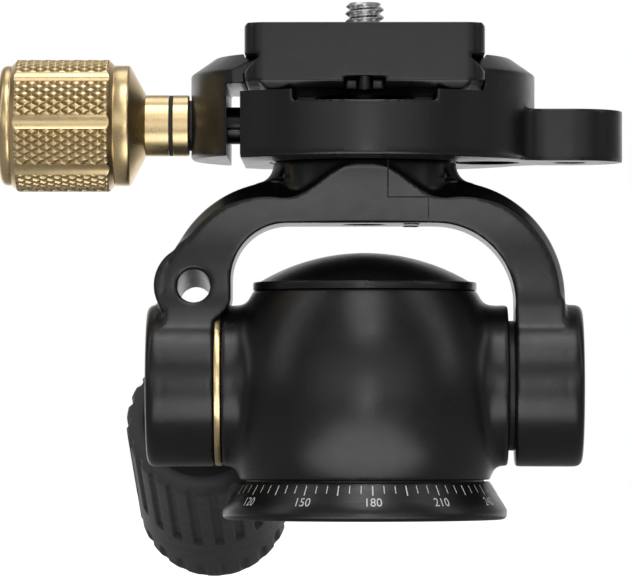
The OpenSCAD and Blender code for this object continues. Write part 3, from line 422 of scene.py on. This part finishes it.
def gripRadius(spec, along):
    straight = spec["start"] + spec["round"]
    share = np.clip((along - straight) / (spec["end"] - straight), 0, 1)
    taper = spec["nearR"] + (spec["farR"] - spec["nearR"]) * share
    bend = np.maximum(spec["round"] ** 2 - np.maximum(straight - along, 0) ** 2, 0)
    near = spec["nearR"] - spec["round"] + np.sqrt(bend)
    dome = np.sqrt(np.maximum(spec["farR"] ** 2 - np.maximum(along - spec["end"], 0) ** 2, 0))
    return np.where(along < straight, near, np.where(along > spec["end"], dome, taper))


def makeHandleGrip(spec):
    columns = spec["slots"] * 20
    angle = np.arange(columns) / columns * 2 * np.pi
    tip = spec["end"] + spec["farR"]
    near = spec["start"] + spec["round"] * (1 - np.cos(np.linspace(0, np.pi / 2, 16)))
    dome = spec["end"] + spec["farR"] * np.sin(np.linspace(0.01, np.pi / 2 - 0.02, 64))
    along = np.concatenate([near, np.arange(near[-1] + 0.28, spec["end"], 0.3), dome])
    aa, tt = np.meshgrid(along, angle, indexing="ij")
    full = gripRadius(spec, aa)
    # distance from each point to the nearest slot's outline
    turn = np.mod(tt, 2 * np.pi / spec["slots"])
    turn = np.minimum(turn, 2 * np.pi / spec["slots"] - turn)
    across = turn * full
    radius = full.copy()
    half = spec["slotW"] / 2
    for (low, high), outer in zip(spec["bands"], (spec["nearR"], spec["farR"])):
        # ball-nosed slot with a level floor, so it runs out on the rounded ends
        past = np.maximum(np.maximum(low + half - aa, aa - (high - half)), 0)
        gap = np.sqrt(across ** 2 + past ** 2) / half
        taper = np.clip((aa - spec["start"]) / (spec["end"] - spec["start"]), 0, 1) * (outer == spec["nearR"])
        level = outer + (spec["farR"] - spec["nearR"]) * taper
        ball = level - spec["slotDepth"] * np.sqrt(np.clip(1 - gap ** 4, 0, 1))
        radius = np.where(gap < 1, np.minimum(radius, ball), radius)
    start, bore, cup = spec["start"], spec["bore"], spec["cupR"]
    mouth = [
        (start + 3, bore), (start + spec["cupH"], bore), (start + spec["cupH"], cup),
        (start + 0.12, cup), (start + 0.02, cup + 0.1),
    ]
    lower = np.array([handlePoint(spec, np.full(columns, a), np.full(columns, r), angle) for a, r in mouth])
    cap = handlePoint(spec, np.full(columns, tip), np.full(columns, 0.05), angle)[None]
    flat, faces = closedTube(np.vstack([lower, handlePoint(spec, aa, radius, tt), cap]) * mm)
    mesh = meshFrom("slottedGrip", flat, faces)
    return addPiece("slottedGrip", mesh, "handle", gripRubber, ["handle_grip"])


makeHandleGrip(handleGrip)
print("grip moulded")


# yoke: one rounded casting, parted along its stepped lap seam

yokeCast = {
    "grow": 0.09, "fine": 0.2, "voxel": 0.3, "passes": 12,
    "seam": 0.22, "web": 18.0, "upperX": 3.7, "lowerX": 10.2, "stepZ": 51.73, "seamZ": (40, 62), "seamY": 20,
    "armDepth": 7.3, "waistZ": 37.5, "flareR": 32.13, "cornerX": 13.3, "cornerZ": 35.53, "cornerR": 19.0,
    "topInset": 2.8, "sideInset": 1.0, "insetFade": (-0.7, 1.0), "bellRise": 5.2, "bellX": 11.3, "bellFlat": 1.5,
    "fall": 2.5, "ledge": 0.25, "ledgeEnd": (8.0, 11.0), "neckR": 13.6, "collarR": 14.8, "neckTurn": (7.0, 12.5),
    "collarH": 3.4, "outlineSlack": 0.25, "eyeAt": (27.4, 37.7), "eyeFade": (6.6, 8.2),
    "wellX": 29.8, "wellMouth": 33.2, "wellR": 9.0, "wellBand": 0.2,
}


def solidCopy(nodeName, grow):
    # a welded copy of a frame node, grown a little along its normals
    copy = bpy.data.objects.new("working", nodes[nodeName].data.copy())
    scene.collection.objects.link(copy)
    weld = copy.modifiers.new("weld", "WELD")
    weld.merge_threshold = weldGap
    if grow:
        swell = copy.modifiers.new("swell", "DISPLACE")
        swell.strength = grow * mm
        swell.mid_level = 0
    mesh = bakedMesh(copy)
    bpy.data.objects.remove(copy)
    return mesh


def remeshed(mesh, voxel):
    copy = bpy.data.objects.new("working", mesh)
    scene.collection.objects.link(copy)
    skin = copy.modifiers.new("skin", "REMESH")
    skin.mode = "VOXEL"
    skin.voxel_size = voxel * mm
    skin.adaptivity = 0
    result = bakedMesh(copy)
    bpy.data.objects.remove(copy)
    return result


def smoothed(mesh, passes, weights=None, shrink=0.0):
    copy = bpy.data.objects.new("working", mesh)
    scene.collection.objects.link(copy)
    relax = copy.modifiers.new("relax", "SMOOTH")
    relax.factor = 0.5
    relax.iterations = passes
    if weights is not None:
        group = copy.vertex_groups.new(name="blend")
        for index in np.nonzero(weights > 0.001)[0]:
            group.add([int(index)], float(weights[index]), "REPLACE")
        relax.vertex_group = "blend"
    if shrink:
        draw = copy.modifiers.new("draw", "DISPLACE")
        draw.strength = -shrink * mm
        draw.mid_level = 0
    result = bakedMesh(copy)
    bpy.data.objects.remove(copy)
    return result


def pointsOf(mesh):
    # a mesh's points in millimetres
    flat = np.empty(len(mesh.vertices) * 3)
    mesh.vertices.foreach_get("co", flat)
    return flat.reshape(-1, 3) / mm


def movePoints(mesh, points):
    mesh.vertices.foreach_set("co", (points * mm).ravel())


def yokeDepth(spec, z):
    # how far the casting reaches to the front at a height
    up = np.clip(z - spec["waistZ"], 0, spec["flareR"])
    return spec["armDepth"] + spec["flareR"] - np.sqrt(spec["flareR"] ** 2 - up ** 2)


def shoulderYoke(spec, points):
    # the front and back faces end in a bell-shaped edge; outside it the casting falls back to the neck
    x, y, z = np.abs(points[:, 0]), points[:, 1], points[:, 2]
    out, up = np.maximum(x - spec["cornerX"], 0), np.maximum(z - spec["cornerZ"], 0)
    reach = np.hypot(out, up)
    turn = np.arctan2(up, np.maximum(out, 0.001)) / (math.pi / 2)
    inset = spec["sideInset"] + (spec["topInset"] - spec["sideInset"]) * turn ** 2.2
    inset *= smoothStep(*spec["insetFade"], z - spec["cornerZ"])
    # the lanyard eye keeps its own shape
    eyeX, eyeZ = spec["eyeAt"]
    fromEye = np.hypot(x - eyeX, z - eyeZ)
    inset *= np.where(points[:, 0] < 0, smoothStep(*spec["eyeFade"], fromEye), 1)
    bell = spec["bellRise"] * 0.5 * (1 + np.cos(math.pi * np.clip((x - spec["bellFlat"]) / spec["bellX"], 0, 1)))
    past = np.maximum(inset - bell - (spec["cornerR"] - reach), 0)
    edgeZ = spec["cornerZ"] + spec["cornerR"] - spec["topInset"] + bell
    neckR = spec["neckR"] + (spec["collarR"] - spec["neckR"]) * smoothStep(*spec["neckTurn"], x)
    neck = np.minimum(np.sqrt(np.maximum(neckR ** 2 - x ** 2, 0)), yokeDepth(spec, edgeZ))
    ledge = spec["ledge"] * (1 - smoothStep(*spec["ledgeEnd"], x))
    most = np.maximum(neck - ledge, yokeDepth(spec, z) - spec["fall"] * past)
    cut = (past > 0) & (reach < spec["cornerR"] + spec["collarH"])
    cut &= (x < spec["cornerX"]) | (reach < spec["cornerR"] + spec["outlineSlack"])
    moved = points.copy()
    moved[:, 1] = np.where(cut, np.clip(y, -most, most), y)
    return moved


def squareWells(spec, points):
    # the axle nuts turn in their wells, so no fillet is left at a well's floor
    rise = points[:, 2] - tiltZ / mm
    spread = np.hypot(points[:, 1], rise)
    side = np.abs(points[:, 0])
    inside = (side > spec["wellX"]) & (side < spec["wellMouth"]) & (spread < spec["wellR"])
    onFloor = inside & (spread < spec["wellR"] - spec["wellBand"])
    widen = np.where(inside & ~onFloor, spec["wellR"] / np.maximum(spread, 0.01), 1)
    points[:, 0] = np.where(onFloor, np.copysign(spec["wellX"], points[:, 0]), points[:, 0])
    points[:, 1] *= widen
    points[:, 2] = tiltZ / mm + rise * widen
    return points


def makeYoke(spec):
    work = bmesh.new()
    for nodeName in ("yoke_main", "yoke_right_arm"):
        work.from_mesh(solidCopy(nodeName, spec["grow"]))
    joined = bpy.data.meshes.new("yokeRough")
    work.to_mesh(joined)
    work.free()
    rough = remeshed(joined, spec["fine"])
    movePoints(rough, shoulderYoke(spec, pointsOf(rough)))
    skin = smoothed(remeshed(rough, spec["voxel"]), spec["passes"], None, spec["grow"])
    movePoints(skin, squareWells(spec, pointsOf(skin)))
    # the seam is a thin stepped sheet taken out of the casting
    half = spec["seam"] / 2
    ux, lx, sz = spec["upperX"], spec["lowerX"], spec["stepZ"]
    bottom, top = spec["seamZ"]
    outline = [
        (ux - half, top), (ux - half, sz - half), (lx - half, sz - half), (lx - half, bottom),
        (lx + half, bottom), (lx + half, sz + half), (ux + half, sz + half), (ux + half, top),
    ]
    count = len(outline)
    points, faces = [], []
    # a web is left inside, so no light comes through
    for ends in ((-spec["seamY"], -spec["web"] / 2), (spec["web"] / 2, spec["seamY"])):
        low = len(points)
        points += [(x * mm, y * mm, z * mm) for y in ends for x, z in outline]
        faces += [tuple(range(low, low + count)), tuple(range(low + 2 * count - 1, low + count - 1, -1))]
        for i in range(count):
            k = (i + 1) % count
            faces.append((low + i, low + k, low + count + k, low + count + i))
    knife = bpy.data.objects.new("seamKnife", meshFrom("seamKnife", points, faces))
    scene.collection.objects.link(knife)
    copy = bpy.data.objects.new("working", skin)
    scene.collection.objects.link(copy)
    part = copy.modifiers.new("part", "BOOLEAN")
    part.operation = "DIFFERENCE"
    part.solver = "EXACT"
    part.object = knife
    mesh = bakedMesh(copy)
    bpy.data.objects.remove(copy)
    bpy.data.objects.remove(knife)
    shadeSmooth(mesh, 50)
    return addPiece("yokeCasting", mesh, "yoke", blackMetal, ["yoke_main", "yoke_right_arm"])


makeYoke(yokeCast)
print("yoke cast and parted")


# panning body: barrel and trunnions run into each other

bodyCast = {"voxel": 0.34, "passes": 60, "polish": 3, "innerX": 13.0, "outerX": 22.2, "low": 7.6, "high": 35.9}


def makeBody(spec):
    skin = remeshed(solidCopy("body_housing", 0), spec["voxel"])
    points = pointsOf(skin)
    side, z = np.abs(points[:, 0]), points[:, 2]
    weight = smoothStep(spec["innerX"], spec["innerX"] + 3, side)
    weight *= 1 - smoothStep(spec["outerX"] - 0.8, spec["outerX"], side)
    weight *= smoothStep(spec["low"] - 0.8, spec["low"] + 0.6, z)
    weight *= 1 - smoothStep(spec["high"] - 0.6, spec["high"] + 0.6, z)
    mesh = smoothed(smoothed(skin, spec["polish"]), spec["passes"], weight)
    shadeSmooth(mesh, 60)
    return addPiece("bodyCasting", mesh, "pan_body", blackMetal, ["body_housing"])


makeBody(bodyCast)
print("body cast")


# clamp, jaw and plate: milled pieces with broken edges

def lowerSeat(spec, points):
    # the seat lies a little under the plate's outer edges, and the disc's rim hangs a little lower
    low, high = spec["seatZ"]
    seat = (points[:, 0] < spec["seatX"]) & (points[:, 2] > low) & (points[:, 2] < high)
    points[:, 2] = np.where(seat, low, points[:, 2])
    rim = (points[:, 2] < spec["rimZ"]) & (np.hypot(points[:, 0], points[:, 1]) > spec["rimR"])
    points[:, 2] -= spec["rimDrop"] * rim
    return points


def lowerFoot(spec, points):
    # the plate's underside comes down to the seat inside a bevel
    inside = np.minimum(spec["footX"] - np.abs(points[:, 0]), spec["footY"] - np.abs(points[:, 1]))
    share = np.clip(inside / spec["footDrop"], 0, 1) * (points[:, 2] < spec["footZ"])
    points[:, 2] -= spec["footDrop"] * share
    return points


milledPieces = {
    "clampBody": {
        "node": "clamp_base", "body": "yoke", "voxel": 0.27, "passes": 4, "shape": lowerSeat,
        "seatX": 19.0, "seatZ": (68.2, 69.65), "rimZ": 58.8, "rimR": 15.4, "rimDrop": 0.35,
    },
    "clampJaw": {"node": "clamp_jaw", "body": "jaw", "voxel": 0.22, "passes": 4},
    "dovetailPlate": {
        "node": "qr_plate", "body": "plate", "voxel": 0.24, "passes": 3, "shape": lowerFoot,
        "footX": 16.8, "footY": 25, "footZ": 69.8, "footDrop": 1.2,
    },
}


def makeMilled(name, spec):
    rough = remeshed(solidCopy(spec["node"], 0), spec["voxel"])
    if "shape" in spec:
        movePoints(rough, spec["shape"](spec, pointsOf(rough)))
    mesh = smoothed(rough, spec["passes"])
    shadeSmooth(mesh, 60)
    return addPiece(name, mesh, spec["body"], blackMetal, [spec["node"]])


for pieceName, pieceSpec in milledPieces.items():
    makeMilled(pieceName, pieceSpec)
print("clamp, jaw and plate milled")


# dial: painted ticks and numbers on the base's cone

dial = {
    "lowR": 23.0, "lowZ": 1.6, "highR": 20.2, "highZ": 6.1, "front": 176.6, "lift": 0.03,
    "tickTop": 5.66, "tickShort": 4.43, "tickLong": 4.12, "tickW": 0.14, "longW": 0.19, "tickR": 21.5,
    "numberMid": 3.06, "numberH": 1.52, "numberW": 0.86, "numberR": 21.9,
}


def conePoint(spec, value, z, out):
    # a dial value's place on the cone; values grow to the right seen from outside
    share = (z - spec["lowZ"]) / (spec["highZ"] - spec["lowZ"])
    run, rise = spec["lowR"] - spec["highR"], spec["highZ"] - spec["lowZ"]
    length = math.hypot(run, rise)
    radius = spec["lowR"] - run * share + out * rise / length
    turn = math.radians(value - spec["front"])
    return (radius * math.sin(turn), -radius * math.cos(turn), z + out * run / length)


def makeDial(spec):
    points, faces = [], []
    run, rise = spec["lowR"] - spec["highR"], spec["highZ"] - spec["lowZ"]
    slope = rise / math.hypot(run, rise)

    def patch(corners):
        start = len(points)
        points.extend(conePoint(spec, value, z, spec["lift"]) for value, z in corners)
        faces.append(tuple(range(start, start + len(corners))))

    for value in range(0, 360, 5):
        long = value % 15 == 0
        low = spec["tickLong"] if long else spec["tickShort"]
        half = math.degrees((spec["longW"] if long else spec["tickW"]) / 2 / spec["tickR"])
        top = spec["tickTop"]
        patch([(value - half, low), (value + half, low), (value + half, top), (value - half, top)])
    for value in range(0, 360, 30):
        curve = bpy.data.curves.new("dialNumber", "FONT")
        curve.body = str(value)
        curve.align_x = "CENTER"
        curve.align_y = "CENTER"
        curve.size = 1.0
        curve.space_character = 1.04
        label = bpy.data.objects.new("dialNumber", curve)
        scene.collection.objects.link(label)
        flat = bakedMesh(label)
        bpy.data.objects.remove(label)
        lowest, highest = min(v.co.y for v in flat.vertices), max(v.co.y for v in flat.vertices)
        middle = (highest + lowest) / 2
        scale = spec["numberH"] / (highest - lowest)
        start = len(points)
        for vertex in flat.vertices:
            turn = math.degrees(vertex.co.x * scale * spec["numberW"] / spec["numberR"])
            z = spec["numberMid"] + (vertex.co.y - middle) * scale * slope
            points.append(conePoint(spec, value + turn, z, spec["lift"]))
        faces.extend(tuple(start + i for i in polygon.vertices) for polygon in flat.polygons)
    mesh = bpy.data.meshes.new("dialMarks")
    mesh.from_pydata([(x * mm, y * mm, z * mm) for x, y, z in points], [], faces)
    mesh.update()
    return addPiece("dialMarks", mesh, "base", dialPaint, None)


makeDial(dial)
print("dial painted")


# floor, light and camera

def areaLight(name, place, target, size, energy):
    data = bpy.data.lights.new(name, "AREA")
    data.shape = "RECTANGLE"
    data.size, data.size_y = size
    data.energy = energy
    lamp = bpy.data.objects.new(name, data)
    lamp.location = place
    lamp.rotation_euler = (Vector(target) - Vector(place)).to_track_quat("-Z", "Y").to_euler()
    lamp.visible_camera = False
    scene.collection.objects.link(lamp)


studio = {
    "floorZ": -33.0, "floorHalf": 2.5, "floorTone": 0.42, "glowNear": 0.66, "glowFar": 1.0, "glowRadius": (0.04, 0.16),
    "backdrop": (0.12, 0.3), "ambient": 1.12, "overhead": 0.25, "heightBand": (0.12, 0.6),
    "sideShade": 0.22, "sideBand": (0.45, 0.85),
}
partMiddle = (0, 0, 0.04)
# each lamp's place, target, size and energy
lamps = {
    "topFront": ((0.0, -0.27, 0.79), partMiddle, (0.30, 0.22), 1.05),
    "topMid": ((0.0, -0.48, 0.68), partMiddle, (0.36, 0.24), 0.60),
    "leftPanel": ((-0.62, -0.17, 0.51), partMiddle, (0.25, 0.80), 0.75),
    "rightPanel": ((0.62, -0.17, 0.51), partMiddle, (0.25, 0.80), 0.75),
    "strip": ((0.006, -0.30, 0.015), (0.004, 0, 0.02), (0.05, 0.12), 0.065),
    "backTop": ((-0.05, 0.10, 0.34), (-0.05, 0, 0.064), (0.14, 0.16), 0.10),
    "lowPanel": ((0.0, -0.080, -0.0118), (0.0, -0.0799, 1.0), (0.086, 0.085), 0.055),
    "nearHigh": ((0.01, -0.22, 0.20), (0.005, 0, 0.05), (0.09, 0.06), 0.055),
}


def bandNode(tree, ends, low=0.0, high=1.0):
    # a smooth step between two values
    node = addNode(tree, "ShaderNodeMapRange", interpolation_type="SMOOTHSTEP")
    node.inputs["From Min"].default_value, node.inputs["From Max"].default_value = ends
    node.inputs["To Min"].default_value = low
    node.inputs["To Max"].default_value = high
    return node


def makeFloor(spec):
    finish, tree, shader = newFinish("paleFloor")
    shader.inputs["Base Color"].default_value = (spec["floorTone"], spec["floorTone"], spec["floorTone"], 1)
    shader.inputs["Roughness"].default_value = 0.8
    shader.inputs["Specular IOR Level"].default_value = 0.1
    # for the camera the floor glows to white away from the object
    glow = addNode(tree, "ShaderNodeEmission")
    path = addNode(tree, "ShaderNodeLightPath")
    place = addNode(tree, "ShaderNodeNewGeometry")
    reach = addNode(tree, "ShaderNodeVectorMath", operation="LENGTH")
    rise = bandNode(tree, spec["glowRadius"], spec["glowNear"], spec["glowFar"])
    level = addNode(tree, "ShaderNodeMath", operation="MULTIPLY")
    # the far floor behind the object is white in reflections too
    split = addNode(tree, "ShaderNodeSeparateXYZ")
    behind = bandNode(tree, spec["backdrop"])
    most = addNode(tree, "ShaderNodeMath", operation="MAXIMUM")
    both = addNode(tree, "ShaderNodeAddShader")
    tree.links.new(place.outputs["Position"], reach.inputs[0])
    tree.links.new(reach.outputs["Value"], rise.inputs["Value"])
    tree.links.new(path.outputs["Is Camera Ray"], level.inputs[0])
    tree.links.new(rise.outputs["Result"], level.inputs[1])
    tree.links.new(place.outputs["Position"], split.inputs[0])
    tree.links.new(split.outputs["Y"], behind.inputs["Value"])
    tree.links.new(level.outputs[0], most.inputs[0])
    tree.links.new(behind.outputs["Result"], most.inputs[1])
    tree.links.new(most.outputs[0], glow.inputs["Strength"])
    tree.links.new(shader.outputs[0], both.inputs[0])
    tree.links.new(glow.outputs[0], both.inputs[1])
    tree.links.new(both.outputs[0], tree.nodes["Material Output"].inputs["Surface"])
    half = spec["floorHalf"]
    mesh = bpy.data.meshes.new("floor")
    z = spec["floorZ"] * mm
    mesh.from_pydata([(-half, -half, z), (half, -half, z), (half, half, z), (-half, half, z)], [], [(0, 1, 2, 3)])
    mesh.materials.append(finish)
    floor = bpy.data.objects.new("floor", mesh)
    scene.collection.objects.link(floor)


def makeSky(spec):
    # white behind the object; as light it is bright at the horizon, dim overhead and at the sides
    world = bpy.data.worlds.new("studio")
    scene.world = world
    world.use_nodes = True
    tree = world.node_tree
    tree.nodes.clear()
    output = addNode(tree, "ShaderNodeOutputWorld")
    seen = addNode(tree, "ShaderNodeBackground", Strength=1.0)
    seen.inputs["Color"].default_value = (1, 1, 1, 1)
    sky = addNode(tree, "ShaderNodeBackground")
    sky.inputs["Color"].default_value = (1, 1, 1, 1)
    path = addNode(tree, "ShaderNodeLightPath")
    coords = addNode(tree, "ShaderNodeTexCoord")
    split = addNode(tree, "ShaderNodeSeparateXYZ")
    height = bandNode(tree, spec["heightBand"], spec["ambient"], spec["ambient"] * spec["overhead"])
    aside = addNode(tree, "ShaderNodeMath", operation="ABSOLUTE")
    shade = bandNode(tree, spec["sideBand"], 1.0, spec["sideShade"])
    level = addNode(tree, "ShaderNodeMath", operation="MULTIPLY")
    either = addNode(tree, "ShaderNodeMath", operation="MAXIMUM")
    mix = addNode(tree, "ShaderNodeMixShader")
    tree.links.new(coords.outputs["Generated"], split.inputs[0])
    tree.links.new(split.outputs["Z"], height.inputs["Value"])
    tree.links.new(split.outputs["X"], aside.inputs[0])
    tree.links.new(aside.outputs[0], shade.inputs["Value"])
    tree.links.new(height.outputs["Result"], level.inputs[0])
    tree.links.new(shade.outputs["Result"], level.inputs[1])
    tree.links.new(level.outputs[0], sky.inputs["Strength"])
    tree.links.new(path.outputs["Is Camera Ray"], either.inputs[0])
    tree.links.new(path.outputs["Is Transmission Ray"], either.inputs[1])
    tree.links.new(either.outputs[0], mix.inputs[0])
    tree.links.new(sky.outputs[0], mix.inputs[1])
    tree.links.new(seen.outputs[0], mix.inputs[2])
    tree.links.new(mix.outputs[0], output.inputs["Surface"])


makeFloor(studio)
makeSky(studio)
for lampName, (place, target, size, energy) in lamps.items():
    areaLight(lampName, place, target, size, energy)

view = {"from": (0.0, -0.850, 0.0169), "at": (-0.0079, 0.0, 0.0371), "lens": 299.0}
cameraData = bpy.data.cameras.new("photoCamera")
cameraData.lens = view["lens"]
cameraData.sensor_width = 36
cameraData.clip_start = 0.01
camera = bpy.data.objects.new("photoCamera", cameraData)
camera.location = view["from"]
camera.rotation_euler = (Vector(view["at"]) - Vector(view["from"])).to_track_quat("-Z", "Y").to_euler()
scene.collection.objects.link(camera)
scene.camera = camera
print("studio and camera set")
